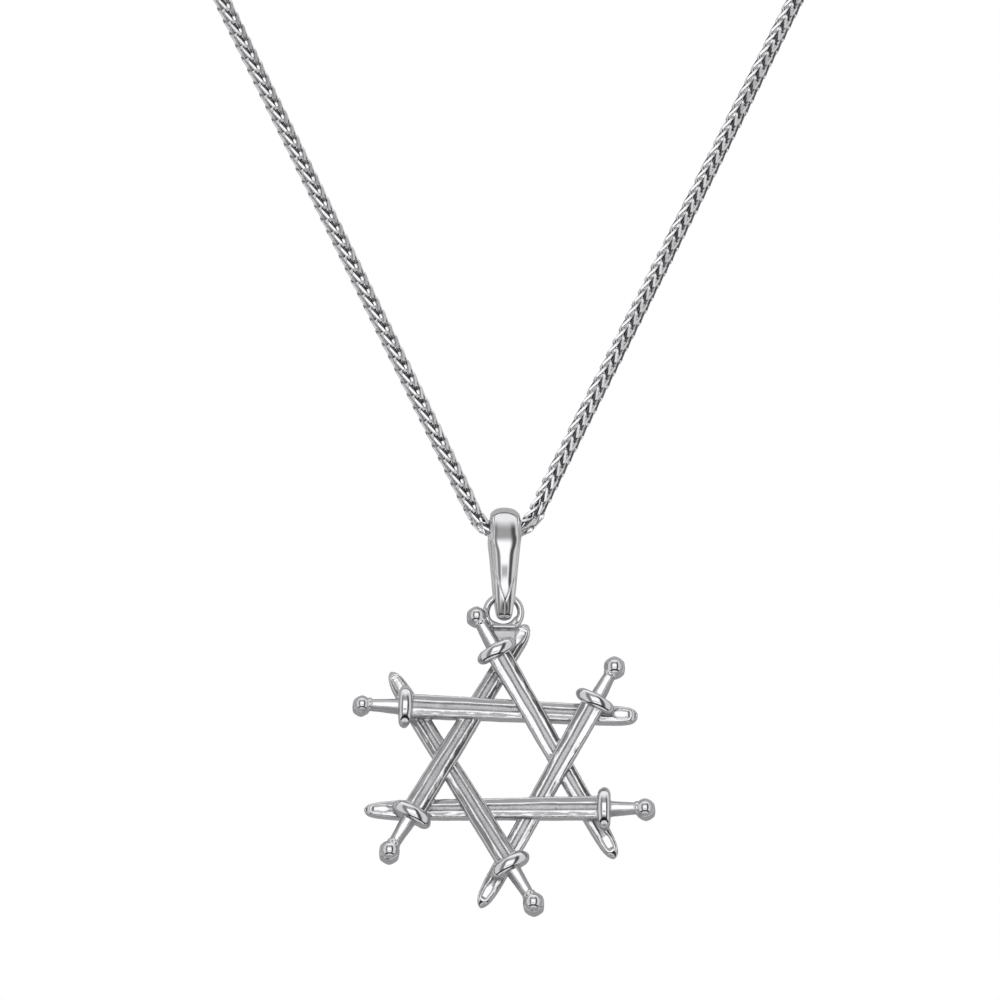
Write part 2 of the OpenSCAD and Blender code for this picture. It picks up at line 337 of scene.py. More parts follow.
def cast_silver():
    """Rhodium-plated cast silver: bright where the wheel reached, grey and grainy in the grooves,
    on the sides and behind, where the casting skin was left. The polish has faint clouds in it."""
    material, tree = blank_material("rhodium-plated cast silver")
    place = add(tree, "ShaderNodeTexCoord").outputs["Object"]
    polish = add(tree, "ShaderNodeAttribute", attribute_name="polish").outputs["Fac"]
    grain = add(tree, "ShaderNodeTexNoise", {
        "Vector": place, "Scale": pattern_scale(CASTING_GRAIN_MM), "Detail": 3.0})
    clouds = add(tree, "ShaderNodeTexNoise", {
        "Vector": place, "Scale": pattern_scale(POLISH_CLOUD_MM), "Detail": 2.0})
    colour = add(tree, "ShaderNodeMix", {
        0: polish, 6: linear(CAST_SILVER), 7: linear(SILVER)}, data_type="RGBA")
    satin = add(tree, "ShaderNodeMapRange", {
        "Value": grain, "To Min": CAST_SKIN_ROUGH[0], "To Max": CAST_SKIN_ROUGH[1]})
    bright = add(tree, "ShaderNodeMapRange", {
        "Value": clouds, "To Min": POLISH_ROUGH[0], "To Max": POLISH_ROUGH[1]})
    rough = add(tree, "ShaderNodeMix", {0: polish, 2: satin, 3: bright})
    height = add(tree, "ShaderNodeMapRange", {
        "Value": polish, "To Min": CAST_SKIN_BUMP, "To Max": POLISH_BUMP})
    bump = add(tree, "ShaderNodeBump", {
        "Height": grain, "Strength": height, "Distance": 0.04 * MM})
    silver = add(tree, "ShaderNodeBsdfPrincipled", {
        "Base Color": colour.outputs[2], "Metallic": 1.0, "Roughness": rough, "Normal": bump})
    add(tree, "ShaderNodeOutputMaterial", {"Surface": silver})
    return material


def polished_silver(name, roughness, line_mm, stretch):
    """Rhodium-plated silver, buffed, drawn or turned: a clear mirror with a faint grain along the
    work. Stretch gives the pattern's scale along each axis, less where the lines run."""
    material, tree = blank_material(name)
    place = add(tree, "ShaderNodeTexCoord").outputs["Object"]
    along = add(tree, "ShaderNodeMapping", {"Vector": place, "Scale": stretch})
    grain = add(tree, "ShaderNodeTexNoise", {
        "Vector": along, "Scale": pattern_scale(line_mm), "Detail": 3.0})
    rough = add(tree, "ShaderNodeMapRange", {
        "Value": grain, "To Min": roughness[0], "To Max": roughness[1]})
    bump = add(tree, "ShaderNodeBump", {"Height": grain, "Strength": 0.05, "Distance": 0.02 * MM})
    silver = add(tree, "ShaderNodeBsdfPrincipled", {
        "Base Color": linear(SILVER), "Metallic": 1.0, "Roughness": rough, "Normal": bump})
    add(tree, "ShaderNodeOutputMaterial", {"Surface": silver})
    return material


def oxide_and_painted_shade():
    """The darkened metal deep between the chain's strands, where no buff reaches: oxide, darkened
    further as painted shade where the strands shut out the light, in dull patches of grey and near
    black, which set off the bright links."""
    material, tree = blank_material("oxidised silver and painted shade")
    place = add(tree, "ShaderNodeTexCoord").outputs["Object"]
    patches = add(tree, "ShaderNodeTexNoise", {
        "Vector": place, "Scale": pattern_scale(OXIDE_AND_SHADE_PATCH_MM), "Detail": 2.0})
    colour = add(tree, "ShaderNodeMix", {
        0: patches, 6: linear(OXIDE_AND_SHADE_DARK), 7: linear(OXIDE_AND_SHADE_PALE)}, data_type="RGBA")
    silver = add(tree, "ShaderNodeBsdfPrincipled", {
        "Base Color": colour.outputs[2], "Metallic": 1.0, "Roughness": 0.45})
    add(tree, "ShaderNodeOutputMaterial", {"Surface": silver})
    return material


# The star

def sword_place(index):
    """From a sword's own lengths, pommel at -X and point at +X, to the star's, in millimetres."""
    lean, shift, _ = SWORDS[index]
    return (
        Matrix.Rotation(math.radians(360 / len(SWORDS) * index), 4, "Y")
        @ Matrix.Translation((0, 0, SWORD_OFFSET_MM * (1 + shift)))
        @ Matrix.Rotation(WEAVE_ANGLE, 4, "Z")
        @ Matrix.Rotation(math.radians(lean), 4, "Y")
    )


def tip_s(index):
    return CROSSING_OUT_MM + TIP_PAST_MM * (1 + SWORDS[index][2])


def guard_s(index):
    return GUARD_S_MM - HILTS[index][0]


def pommel_s(index):
    return POMMEL_S_MM - HILTS[index][1]


# The blunt point, which is drawn in over this length. Before it the blade is filed narrower, from
# and up to these distances from the tip.
POINT_L_MM = 1.5
FILED_MM = (3.0, 0.6)
# In the swords' order: the share of the width that is left, and how sharp the point is, where 0.5
# is round
POINTS = [(0.94, 0.36), (0.92, 0.5), (0.87, 0.58), (0.78, 0.42), (0.86, 0.58), (1, 0.48)]
# Shares of the half width at which a blade's front is cut
FRONT_SHARES = [
    0, 0.1, 0.17, 0.21, 0.25, 0.29, 0.33, 0.38, 0.44, 0.5, 0.6, 0.72, 0.84, 0.93, 0.98,
]
# The groove, with its floor and its wall as shares of the half width. It starts over a short length
# past the guard, and ends between two distances from the tip.
GROOVE_D_MM = 0.18
GROOVE_SHARE = 0.21
GROOVE_WALL_SHARE = 0.11
GROOVE_START_MM = 0.7
GROOVE_END_MM = (0.95, 0.6)
# Near the tip it spreads into a shallower spoon, which is whole at this share of its length
SPOON_L_MM = 2.3
SPOON_WHOLE_SHARE = 0.7
SPOON_WIDER_SHARE = 0.2
SPOON_RISE_SHARE = 0.2
# The bevel, from the top of its ridge outwards, and the softened edge
BEVEL_D_MM = 0.12
RIDGE_SHARE = 0.42
EDGE_D_MM = 0.1
EDGE_SHARE = 0.9
# How far the front falls away to the tip, and over what length
FALL_D_MM = 0.35
FALL_L_MM = 0.8
# Streaks along each bevel: their height, the shares of the half width over which they come in, and
# for each kind its strength, its length in millimetres, how many there are across, and the step and
# the start of its seeds
STREAK_MM = 0.014
STREAKS_IN_SHARES = (0.25, 0.4)
STREAKS = [(1, 1.3, 3.4, 5.7, 0), (0.5, 0.5, 7.0, 3.1, 9)]
# The side wall starts this far behind the front's edge. Then how far back from the blade's middle
# each point of the wall and the back lies, and its share of the half width.
WALL_TOP_MM = 0.06
WALL_AND_BACK = [
    (0, 1.02), (0.45, 1), (BLADE_T_MM / 2 - 0.1, 0.97), (BLADE_T_MM / 2, 0.86),
    (BLADE_T_MM / 2, 0),
]
STATION_MM = 0.12
# The last section is drawn back a hair, and none is narrower than this
LAST_STATION_MM = 0.015
LEAST_HALF_MM = 0.06


def blade_half(s, index):
    """Half of a blade's width, drawn in to its blunt point."""
    tip = tip_s(index)
    share = (s + GUARD_S_MM) / (tip + GUARD_S_MM)
    half = mix(BLADE_W_MM, BLADE_END_W_MM, share) / 2
    half *= 1 + uneven(s, index, BLADE_WIDTH_WAVES) + uneven(s, index, BLADE_WIDTH_NICKS)
    narrow, sharp = POINTS[index]
    half *= mix(1, narrow, smooth(tip - FILED_MM[0], tip - FILED_MM[1], s))
    left = (tip - s) / POINT_L_MM
    return half * ((1 - (1 - left) ** 2) ** sharp if left < 1 else 1)


def front_depth(share, s, index, side):
    """How far a blade's front lies below its highest ridge, at a share of the half width on one
    side, which is 1 or -1."""
    tip = tip_s(index)
    guard = -guard_s(index)
    spoon = smooth(tip - SPOON_L_MM, tip - SPOON_L_MM * SPOON_WHOLE_SHARE, s)
    wide = GROOVE_SHARE * (1 + uneven(s, index, GROOVE_WIDTH_WAVES)) + SPOON_WIDER_SHARE * spoon
    depth = GROOVE_D_MM * (1 + uneven(s, index, GROOVE_DEPTH_WAVES))
    depth *= 1 - SPOON_RISE_SHARE * spoon
    ends = smooth(guard, guard + GROOVE_START_MM, s)
    ends *= 1 - smooth(tip - GROOVE_END_MM[0], tip - GROOVE_END_MM[1], s)
    groove = depth * ends * (1 - smooth(wide, wide + GROOVE_WALL_SHARE, share))
    bevel = BEVEL_D_MM * max(share - RIDGE_SHARE, 0) / (1 - RIDGE_SHARE)
    edge = EDGE_D_MM * smooth(EDGE_SHARE, 1, share)
    fall = FALL_D_MM * smooth(tip - FALL_L_MM, tip, s) ** 2
    streak = sum(
        strength * noise.noise(Vector((s / length, side * share * many, index * step + start)))
        for strength, length, many, step, start in STREAKS)
    return groove + bevel + edge + fall + STREAK_MM * streak * smooth(*STREAKS_IN_SHARES, share)


def blade_rings(index):
    """Sections across a blade: the grooved front, the side walls and the flat back."""
    length = guard_s(index) + tip_s(index)
    count = round(length / STATION_MM)
    front = -BLADE_T_MM / 2
    rings = []
    for i in range(count + 1):
        s = -guard_s(index) + length * i / count
        if i == count:
            s -= LAST_STATION_MM
        half = max(blade_half(s, index), LEAST_HALF_MM)
        shift = uneven(s, index, GROOVE_PLACE_WAVES)
        above = [(s, front + front_depth(u, s, index, 1), half * u + shift) for u in FRONT_SHARES]
        below = [
            (s, front + front_depth(u, s, index, -1), -half * u + shift) for u in FRONT_SHARES[1:]]
        wall = [(s, front + front_depth(1, s, index, 1) + WALL_TOP_MM, half)]
        wall += [(s, back, half * share) for back, share in WALL_AND_BACK]
        mirrored = below + [(s, y, -z) for _, y, z in wall[:-1]]
        rings.append(above + wall + list(reversed(mirrored)))
    return rings


GUARD_L_MM = 3.55
GUARD_D_MM = 1.08
GUARD_FRONT_MM = -1.15
GUARD_BACK_MM = 1.0
# How far the guard's ends are bowed back from its middle
GUARD_BOW_MM = 0.8
# How round the front of its section is, from 0, flat, to 1, a half circle
GUARD_ROUND = 0.62
# How much thinner its ends are, the length of their caps as a share of its radius, and the share of
# the radius that is left at the very end
GUARD_THINNER_SHARE = 0.12
GUARD_CAP_SHARE = 1.15
GUARD_END_SHARE = 0.12
# How far back the bar reaches: the share at its very ends, and what its caps add up to the whole
GUARD_REACH_SHARES = (0.55, 0.45)
# The half width at the guard's waist and at its back, which has a small chamfer
GUARD_WAIST_SHARE = 0.98
GUARD_HEEL_SHARE = 0.85
GUARD_CHAMFER_MM = 0.08
GUARD_STEPS = 26
ARC_STEPS = 14


def guard_rings(index):
    """Sections along a guard: a bowed, rounded bar in front, drawn straight back past the blade's
    back."""
    radius = GUARD_D_MM / 2
    middle_s = -guard_s(index)
    least, rest = GUARD_REACH_SHARES
    rings = []
    for i in range(GUARD_STEPS + 1):
        turn = math.pi * i / GUARD_STEPS
        z = -math.cos(turn) * GUARD_L_MM / 2
        share = z / (GUARD_L_MM / 2)
        end = min((GUARD_L_MM / 2 - abs(z)) / (radius * GUARD_CAP_SHARE), 1)
        cap = max(math.sqrt(1 - (1 - end) ** 2), GUARD_END_SHARE)
        swell = 1 + uneven(z, index, GUARD_WAVES) - GUARD_THINNER_SHARE * share * share
        centre = GUARD_FRONT_MM + radius * GUARD_ROUND + GUARD_BOW_MM * share * share
        side = radius * cap * swell
        front = [
            (middle_s + side * math.sin(a), centre - radius * GUARD_ROUND * cap * math.cos(a), z)
            for a in (math.pi * (k / ARC_STEPS - 0.5) for k in range(ARC_STEPS + 1))
        ]
        back = mix(centre, GUARD_BACK_MM, least + rest * cap)
        waist = (GUARD_WAIST_SHARE, mix(centre, back, 0.5))
        heel = (GUARD_HEEL_SHARE, back - GUARD_CHAMFER_MM)
        rear = [(middle_s + side * out, y, z) for out, y in (waist, heel, (0, back))]
        rear += [(middle_s - side * out, y, z) for out, y in (heel, waist)]
        rings.append(front + rear)
    return rings


# Half of a grip's section: across and towards the front, as shares of its radius. It is cut like a
# roof: a narrow ridge in front, a steep facet on each side, and short walls behind them.
GRIP_HALF = [
    (0.14, 0.88), (0.4, 0.85), (0.52, 0.75), (0.6, 0.56), (0.94, -0.22), (1, -0.42), (0.96, -0.9),
    (0.7, -1.1),
]
GRIP_SECTION = GRIP_HALF + [(-across, ahead) for across, ahead in reversed(GRIP_HALF)]
GRIP_D_MM = 1.36
GRIP_END_D_MM = 0.94
# As shares of its length: its taper starts before it and ends past it, so that it is near straight,
# and at its root under the guard it widens by a share of its radius
GRIP_TAPER_SHARES = (-0.15, 1.1)
GRIP_ROOT_SHARE = 0.22
GRIP_ROOT_WIDER_SHARE = 0.14
GRIP_STEPS = 24


def grip_rings(index):
    rings = []
    for i in range(GRIP_STEPS + 1):
        share = i / GRIP_STEPS
        s = -mix(guard_s(index), pommel_s(index), share)
        radius = mix(GRIP_D_MM, GRIP_END_D_MM, smooth(*GRIP_TAPER_SHARES, share)) / 2
        root = GRIP_ROOT_WIDER_SHARE * smooth(GRIP_ROOT_SHARE, 0, share)
        radius *= 1 + uneven(s, index, GRIP_WAVES) + root
        rings.append([(s, -radius * ahead, radius * across) for across, ahead in GRIP_SECTION])
    return rings


POMMEL_D_MM = 1.38
# The ball's share of the pommel's width, its depth as a share of its own width, and how far ahead
# of the sword's middle plane it sits
BALL_SHARE = 0.95
BALL_ROUND = 0.84
BALL_AHEAD_MM = 0.06
BALL_SEGMENTS = 28
BALL_RINGS = 20
CUP_D_MM = 1.7
CUP_BACK_MM = 1.75
CUP_SIDES = 6
# How far back each ring of the cup lies, and its share of the cup's radius
CUP_RINGS = [
    (-0.1, 0.8), (0.1, 0.97), (0.5, 1), (1, 0.98), (CUP_BACK_MM - 0.1, 0.95), (CUP_BACK_MM, 0.84),
]
# How far the cup is rounded, from 0, flat sides, to 1, a circle, and its points on each side
CUP_ROUND = 0.6
CUP_SIDE_STEPS = 4
COLLAR_D_MM = 1.16
COLLAR_DROP_MM = 0.66
COLLAR_BACK_MM = 0.05
COLLAR_STEPS = 24
# The collar's rings: a distance along the sword, and the share of its radius
COLLAR_RINGS = [(-0.2, 0.8), (-0.08, 1), (0.08, 1), (0.2, 0.8)]


def pommel(shell, place, index):
    """A ball on a six-sided body, over a thin collar at the end of the grip."""
    centre_s = -pommel_s(index)
    size = HILTS[index][2]
    ball = Matrix.Translation((centre_s, -BALL_AHEAD_MM, 0))
    ball = place @ ball @ Matrix.Scale(BALL_ROUND, 4, (0, 1, 0))
    bmesh.ops.create_uvsphere(
        shell, u_segments=BALL_SEGMENTS, v_segments=BALL_RINGS,
        radius=POMMEL_D_MM / 2 * BALL_SHARE * size, matrix=ball)
    steps = CUP_SIDES * CUP_SIDE_STEPS
    corner = math.pi / CUP_SIDES
    cup = []
    for back, share in CUP_RINGS:
        points = []
        for k in range(steps):
            turn = 2 * math.pi * k / steps
            # Corners lie up and down the star
            off = (turn + corner) % (2 * corner) - corner
            flat = math.cos(corner) / math.cos(off)
            radius = CUP_D_MM / 2 * size * share * mix(flat, 1, CUP_ROUND)
            points.append((centre_s + radius * math.cos(turn), back, radius * math.sin(turn)))
        cup.append(points)
    loft(shell, cup, place)
    collar = []
    for along, share in COLLAR_RINGS:
        s = centre_s + COLLAR_DROP_MM * size + along
        radius = COLLAR_D_MM / 2 * share
        collar.append([
            (s, radius * math.cos(a) + COLLAR_BACK_MM, radius * math.sin(a))
            for a in (2 * math.pi * k / COLLAR_STEPS for k in range(COLLAR_STEPS))
        ])
    loft(shell, collar, place)


RING_MEAN_R_MM = 1.45
RING_WIRE_R_MM = 0.3
RING_STEPS = 72
WIRE_STEPS = 20
# How far the ring was set to the side by hand
RING_SIDE_MM = -0.06
# Its wire swells into the bridge below it, and on its left towards the pommel there. In degrees
# from the ring's lowest point, minus on the left: where the swelling starts to fade and is gone.
RING_LOWEST = 270
SWELL_FADES = (25, 60)
SHOULDER_AT = -60
SHOULDER_FADES = (20, 45)
SHOULDER_SHARE = 0.6
# On the ring's inner side the swelling fades in its own way to the left and to the right
INNER_LEFT_FADES = (20, 70)
INNER_RIGHT_FADES = (60, 85)
# The wire's depth, as a share of its radius, and what the swelling adds to it, outside and inside
WIRE_DEEP_SHARE = 1.1
SWELL_DEEPER_SHARE = 0.8
SWELL_OUTER_SHARE = 0.25
SWELL_INNER_SHARE = 0.7


def ring(shell):
    rings = []
    for i in range(RING_STEPS):
        turn = 2 * math.pi * i / RING_STEPS
        out = Vector((math.cos(turn), 0, math.sin(turn)))
        below = math.degrees(turn) - RING_LOWEST
        shoulder = SHOULDER_SHARE * (1 - smooth(*SHOULDER_FADES, abs(below - SHOULDER_AT)))
        swell = min((1 - smooth(*SWELL_FADES, abs(below))) + shoulder, 1)
        if below < 0:
            inward = 1 - smooth(*INNER_LEFT_FADES, -below)
        else:
            inward = 1 - smooth(*INNER_RIGHT_FADES, below)
        deep = RING_WIRE_R_MM * (WIRE_DEEP_SHARE + SWELL_DEEPER_SHARE * swell)
        points = []
        for k in range(WIRE_STEPS):
            a = 2 * math.pi * k / WIRE_STEPS
            more = SWELL_OUTER_SHARE * swell if math.cos(a) > 0 else SWELL_INNER_SHARE * inward
            wide = RING_WIRE_R_MM * (1 + more)
            point = out * (RING_MEAN_R_MM + wide * math.cos(a))
            points.append(point + Vector((RING_SIDE_MM, deep * math.sin(a), RING_Z_MM)))
        rings.append(points)
    loft(shell, rings, Matrix.Identity(4), closed=True)


BRIDGE_W_MM = 1.9
BRIDGE_D_MM = 1.1
BRIDGE_DROP_MM = 1.1
BRIDGE_TOP_MM = RING_Z_MM - RING_MEAN_R_MM
# A side view of the bridge under the ring: how far back and how far down, as shares of its depth
# and its drop. A rounded lip runs along its top, over a narrow groove.
BRIDGE_SIDE = [
    (-0.4, -0.3), (-0.6, -0.3), (-0.74, -0.22), (-0.78, -0.06), (-0.72, 0.02), (-0.4, 0.06),
    (-0.4, 0.18), (-0.58, 0.22), (-0.5, 0.6), (-0.35, 1.1),
    (0.5, 1.1), (0.5, 0.2), (0, -0.1),
]
# Where it is cut, as shares of its half width. Its two ends are drawn in a little, to this share of
# its side view, about this height in it.
BRIDGE_CUTS = (-1, -0.96, -0.5, 0, 0.5, 0.96, 1)
BRIDGE_END_SHARE = 0.9
BRIDGE_MIDDLE_SHARE = 0.55


def bridge(shell):
    rings = []
    for cut in BRIDGE_CUTS:
        size = BRIDGE_END_SHARE if abs(cut) == 1 else 1
        points = []
        for back, down in BRIDGE_SIDE:
            drop = BRIDGE_DROP_MM * mix(BRIDGE_MIDDLE_SHARE, down, size)
            points.append((cut * BRIDGE_W_MM / 2, back * BRIDGE_D_MM * size, BRIDGE_TOP_MM - drop))
        rings.append(points)
    loft(shell, rings, Matrix.Identity(4))


# How squarely a place faces the front where the wheel starts to reach it and where it does in full
WHEEL_REACHES = (0.42, 0.62)
# The wheel misses the floor of a blade's groove, which is looked for within this share of the half
# width. Below the first of these depths it starts to lose its polish, below the second it has lost
# that share, and below the last it isn't the groove any more.
MISSED_HALF_SHARE = 0.36
MISSED_MM = (0.07, 0.12)
MISSED_SHARE = 0.8
INSIDE_MM = 0.6
# The groove is counted up to this share of the spoon's length from the tip
GROOVE_UNTIL_SHARE = 0.85
# Between these distances below its top, the bridge keeps its cast skin and this share of its polish
BRIDGE_SKIN_MM = (0.9, 0.02)
BRIDGE_SKIN_HALF_MM = 0.9
BRIDGE_POLISH_SHARE = 0.3
# The cast skin's own bumps: their height, how much of it the wheel takes off, and for each kind its
# strength and how many there are to a millimetre
SKIN_BUMP_MM = 0.012
WHEEL_TAKES_SHARE = 0.85
SKIN_BUMPS = [(1, 5.0), (0.6, 11.0)]


def polish_marks(piece):
    """Marks each point from 0, cast skin, to 1, polished, and roughens the cast skin a little."""
    mesh = piece.data
    inverses = [sword_place(i).inverted() for i in range(len(SWORDS))]
    marks = []
    for vertex, normal in zip(mesh.vertices, mesh.vertex_normals):
        mark = smooth(*WHEEL_REACHES, -normal.vector.y)
        for index, inverse in enumerate(inverses):
            own = inverse @ vertex.co
            deep = own.y + BLADE_T_MM / 2
            groove_end = tip_s(index) - SPOON_L_MM * GROOVE_UNTIL_SHARE
            along = -GUARD_S_MM < own.x < groove_end
            across = abs(own.z) / (BLADE_W_MM / 2) < MISSED_HALF_SHARE
            if along and across and MISSED_MM[0] < deep < INSIDE_MM:
                mark *= 1 - MISSED_SHARE * smooth(*MISSED_MM, deep)
        low, high = (BRIDGE_TOP_MM - down for down in BRIDGE_SKIN_MM)
        if low < vertex.co.z < high and abs(vertex.co.x) < BRIDGE_SKIN_HALF_MM:
            mark *= BRIDGE_POLISH_SHARE
        marks.append(mark)
    for vertex, normal, mark in zip(mesh.vertices, mesh.vertex_normals, marks):
        bumps = sum(strength * noise.noise(vertex.co * many) for strength, many in SKIN_BUMPS)
        vertex.co += normal.vector * bumps * SKIN_BUMP_MM * (1 - WHEEL_TAKES_SHARE * mark)
    attribute = mesh.attributes.new("polish", "FLOAT", "POINT")
    attribute.data.foreach_set("value", marks)


VOXEL_MM = 0.048
STAR_TRIANGLES = 190000


def star():
    """All its parts are run together into one casting, in millimetres, then put in place."""
    shell = bmesh.new()
    for index in range(len(SWORDS)):
        place = sword_place(index)
        loft(shell, blade_rings(index), place)
        loft(shell, guard_rings(index), place)
        loft(shell, grip_rings(index), place)
        pommel(shell, place, index)
    ring(shell)
    bridge(shell)
    piece = mesh_object("star_casting", shell)
    remesh = piece.modifiers.new("one casting", "REMESH")
    remesh.mode = "VOXEL"
    remesh.voxel_size = VOXEL_MM
    soften = piece.modifiers.new("soft corners", "SMOOTH")
    soften.factor = 0.5
    soften.iterations = 1
    bake(piece)
    triangles = 2 * len(piece.data.polygons)
    thin = piece.modifiers.new("fewer triangles", "DECIMATE")
    thin.ratio = min(1, STAR_TRIANGLES / triangles)
    bake(piece)
    polish_marks(piece)
    piece.data.transform(Matrix.Translation(STAR_CENTRE) @ Matrix.Scale(MM, 4))
    piece.data.shade_smooth()
    piece.data.materials.append(cast_silver())
    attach(piece, "star")
    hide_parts("star")


# The bail. The loop's sizes are those of the solid parts, and heights are over the pivot, which is
# the middle of the bore.

BORE_R_MM = 1.0
REACH_MM = 5.4
BAIL_TURN = math.radians(4)
TOP_T_MM = 1.2
TOP_R_MM = BORE_R_MM + TOP_T_MM
EYE_R_MM = 0.42
TIP_T_MM = 1.7
TIP_R_MM = 0.65
TIP_Z_MM = -REACH_MM - TIP_T_MM - EYE_R_MM + TIP_R_MM
BELLY_R_MM = 2.2
BELLY_DROP_MM = 4.0
LEG_POWER = 1.6
# Height on the outer face, and half the width there
BAIL_HALF_WIDTHS = [
    (TIP_Z_MM - TIP_R_MM, 0.65), (-REACH_MM - EYE_R_MM, 0.9), (-BORE_R_MM, 1.325),
    (TOP_R_MM, 1.225),
]
TIP_STEPS = 24
TOP_STEPS = 48
LEG_STEPS = 44
# The section: the rounded face inside, as a share of the half width or the thickness, the straight
# rim between that and the dome, and the dome, as a height and as a share of the half width
CROWN_SHARE = 0.44
RIM_MM = 0.12
DOME_MM = 0.66
DOME_SHARE = 0.55
CROWN_STEPS = 12
DOME_STEPS = 64
# The soft outer corner of the bail's side: share of the half width, and height over the dome's foot
CORNER = [(1, -0.1), (0.994, -0.02), (0.975, 0.05), (0.945, 0.11), (0.91, 0.165)]
# Along the middle of each leg the dome is deeper and the face inside flatter. That comes in over
# these heights, from below and from above, and has values of its own.
MIDDLE_FROM_BELOW_MM = (-5.2, -4.4)
MIDDLE_FROM_ABOVE_MM = (-1.2, -2.6)
MIDDLE_CROWN_SHARE = 0.2
MIDDLE_DOME_MM = 0.95
MIDDLE_DOME_SHARE = 0.75
# A fine groove runs down each side of the bail's face, at this share of the half width, then in to
# a fork, where one line splits the tip. Its two lobes meet in a shallow hollow.
LINE_SHARE = 0.8
LINE_D_MM = 0.05
LINE_W_MM = 0.07
ARMS_TOP_MM = -4.0
ARMS_POWER = 0.8
FORK_MM = -6.1
HOLLOW_D_MM = 0.09
HOLLOW_HALF_MM = 0.4
# The hollow comes in from just over the fork, and is whole just over the tip
HOLLOW_MM = (FORK_MM + 0.2, TIP_Z_MM - TIP_R_MM + 0.4)
# Only the front is lined: not at all behind the first of these depths, in full before the second
LINED_MM = (0.1, -0.25)


def bail_half_width(z):
    for (low, half_low), (high, half_high) in zip(BAIL_HALF_WIDTHS, BAIL_HALF_WIDTHS[1:]):
        if z <= high:
            return mix(half_low, half_high, max(z - low, 0) / (high - low))
    return BAIL_HALF_WIDTHS[-1][1]


def side_path(tip_z, tip_r, slope, top, power):
    """The bail's loop in the YZ plane: round the tip, up one leg, over the top and down the other.
    The legs leave the tip at the slope, and curve by the power, where 1 is straight."""
    open_turn = math.pi / 2 - slope
    turns = [open_turn * (2 * i / TIP_STEPS - 1) for i in range(TIP_STEPS + 1)]
    tip = [Vector((0, tip_r * math.sin(a), tip_z - tip_r * math.cos(a))) for a in turns]
    low, high = tip[-1], top[0]
    leg = []
    for i in range(1, LEG_STEPS):
        share = i / LEG_STEPS
        y = high.y - (high.y - low.y) * (1 - share) ** power
        leg.append(Vector((0, y, mix(low.z, high.z, share))))
    return tip + leg + top + [Vector((0, -p.y, p.z)) for p in reversed(leg)]


def top_arc(centre_z, across, up, start):
    turns = [mix(start, math.pi - start, i / TOP_STEPS) for i in range(TOP_STEPS + 1)]
    return [Vector((0, across * math.cos(a), centre_z + up * math.sin(a))) for a in turns]


def line_depth(x, z, half):
    """How deep the fine lines and the hollow between the lobes are cut at a place on the face."""
    left = min(max(z - FORK_MM, 0) / (ARMS_TOP_MM - FORK_MM), 1)
    off = abs(abs(x) - half * LINE_SHARE * left ** ARMS_POWER)
    line = LINE_D_MM * (1 - smooth(0, LINE_W_MM, off))
    return line + HOLLOW_D_MM * smooth(*HOLLOW_MM, z) * (1 - smooth(0, HOLLOW_HALF_MM, abs(x)))


def bail_section(inner, outer):
    """One section across the bail, from its inner to its outer line."""
    across = outer - inner
    thickness = across.length
    out = across / thickness
    half = bail_half_width(outer.z)
    middle = smooth(*MIDDLE_FROM_BELOW_MM, outer.z) * smooth(*MIDDLE_FROM_ABOVE_MM, outer.z)
    crown = min(half, thickness) * mix(CROWN_SHARE, MIDDLE_CROWN_SHARE, middle)
    dome = min(
        mix(DOME_MM, MIDDLE_DOME_MM, middle), half * mix(DOME_SHARE, MIDDLE_DOME_SHARE, middle),
        thickness - crown - RIM_MM)
    foot = thickness - dome
    crown_turns = [math.pi * (1 + (i + 0.5) / CROWN_STEPS) for i in range(CROWN_STEPS)]
    inside = [(math.cos(a), crown + crown * math.sin(a)) for a in crown_turns]
    # The dome starts inside the soft corner
    last_share, last_high = CORNER[-1]
    start = math.asin(last_high / DOME_MM)
    reach = last_share / math.cos(start)
    side = [(share, foot + high * dome / DOME_MM) for share, high in CORNER]
    other_side = [(-share, height) for share, height in reversed(side)]
    turns = [mix(start, math.pi - start, (i + 1) / (DOME_STEPS + 1)) for i in range(DOME_STEPS)]
    face = [(reach * math.cos(a), foot + dome * math.sin(a)) for a in turns]
    lined = smooth(*LINED_MM, outer.y)
    points = []
    for share, height in inside + side + face + other_side:
        x = half * share
        if height > foot:
            height -= lined * line_depth(x, outer.z, half)
        points.append(inner + out * height + Vector((x, 0, 0)))
    return points


def bail():
    shell = bmesh.new()
    inner_slope = math.asin((BORE_R_MM - EYE_R_MM) / REACH_MM)
    bore = top_arc(0, BORE_R_MM, BORE_R_MM, -inner_slope)
    inner = side_path(-REACH_MM, EYE_R_MM, inner_slope, bore, 1)
    belly_z = TOP_R_MM - BELLY_DROP_MM
    outer_slope = math.atan(LEG_POWER * (BELLY_R_MM - TIP_R_MM) / (belly_z - TIP_Z_MM))
    crest = top_arc(belly_z, BELLY_R_MM, BELLY_DROP_MM, 0)
    outer = side_path(TIP_Z_MM, TIP_R_MM, outer_slope, crest, LEG_POWER)
    turned = Matrix.Rotation(BAIL_TURN, 4, "Z")
    place = Matrix.Translation(BAIL_PIVOT) @ turned @ Matrix.Scale(MM, 4)
    loft(shell, [bail_section(a, b) for a, b in zip(inner, outer)], place, closed=True)
    piece = mesh_object("bail_loop", shell)
    piece.data.shade_smooth()
    # Buffing lines run down the bail, a sixth of a millimetre apart, and blur its mirror a little
    silver = polished_silver("rhodium-plated polished silver", (0.05, 0.12), 1 / 6, (1, 1, 0.15))
    piece.data.materials.append(silver)
    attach(piece, "bail")
    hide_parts("bail")


# The chain

